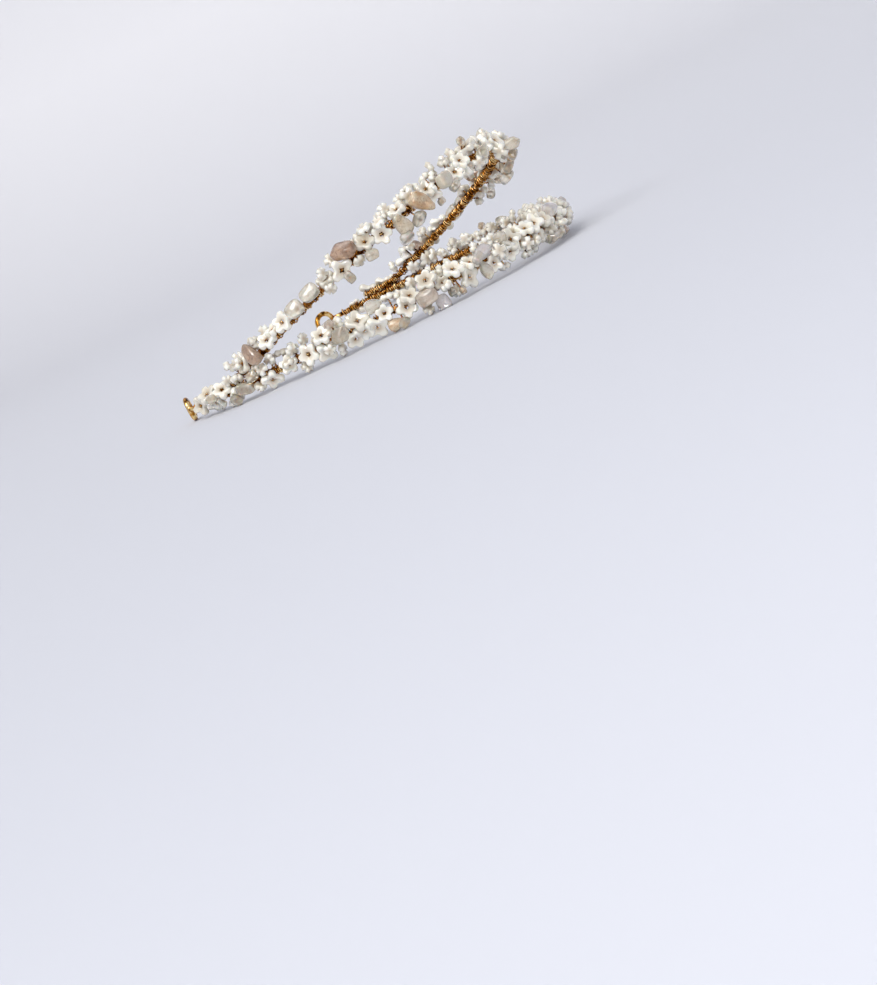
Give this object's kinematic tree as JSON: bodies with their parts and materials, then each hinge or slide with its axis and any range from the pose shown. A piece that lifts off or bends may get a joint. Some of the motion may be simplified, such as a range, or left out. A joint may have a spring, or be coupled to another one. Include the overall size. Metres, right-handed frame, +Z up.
{
  "type": "tiara",
  "caption": "Double tiara of wound gold wire, crowded with shell flower beads and pale quartz chips, with an open crescent between the two wires and a small loop at each end.",
  "frame": {"origin": "bottom centre of the tiara's box, on the surface that it rests on", "axes": "+X towards the wearer's left, +Y towards the back of the head, +Z up"},
  "size_m": [0.1382, 0.1346, 0.0451],
  "materials": {
    "gold_wire": "polished",
    "shell": "gloss",
    "clear_quartz": "gloss",
    "rose_quartz": "gloss",
    "peach_quartz": "gloss",
    "lavender_quartz": "gloss",
    "smoky_quartz": "gloss"
  },
  "bodies": {
    "root": {"band_frame": "gold_wire", "arch_frame": "gold_wire", "band_flowers_right": "shell", "band_flowers_left": "shell", "arch_flowers_right": "shell", "arch_flowers_left": "shell", "band_right_front_clear_chip": "clear_quartz", "band_right_high_crystal": "clear_quartz", "band_right_leaf_chip": "clear_quartz", "band_right_cream_chip": "clear_quartz", "band_right_sparkling_chip": "clear_quartz", "band_right_pale_chip": "clear_quartz", "band_left_low_chip": "clear_quartz", "band_left_leaf_chip": "clear_quartz", "band_left_cream_chip": "clear_quartz", "band_left_sparkling_chip": "clear_quartz", "band_left_pale_chip": "clear_quartz", "arch_right_crest_shiny_chip": "clear_quartz", "arch_right_milky_chip": "clear_quartz", "arch_right_milky_chip_low": "clear_quartz", "arch_left_milky_chip": "clear_quartz", "arch_left_milky_chip_low": "clear_quartz", "band_right_lilac_chip": "lavender_quartz", "band_right_lavender_chip": "lavender_quartz", "band_left_middle_chip": "lavender_quartz", "band_left_lilac_chip": "lavender_quartz", "band_left_lavender_chip": "lavender_quartz", "band_right_pink_pebble": "rose_quartz", "band_left_brown_rose_chip": "rose_quartz", "band_left_pink_pebble": "rose_quartz", "arch_right_mauve_chip": "rose_quartz", "arch_right_rose_bar": "rose_quartz", "arch_left_mauve_chip": "rose_quartz", "arch_left_rose_bar": "rose_quartz", "band_right_peach_drop": "peach_quartz", "band_left_peach_drop": "peach_quartz", "arch_right_cream_round_chip": "peach_quartz", "arch_right_tan_chip": "peach_quartz", "arch_left_peach_tip_chip": "peach_quartz", "arch_left_tan_chip": "peach_quartz", "arch_right_grey_chip": "smoky_quartz", "arch_left_grey_chip": "smoky_quartz", "arch_left_side_crystal": "smoky_quartz"}
  },
  "joints": []
}
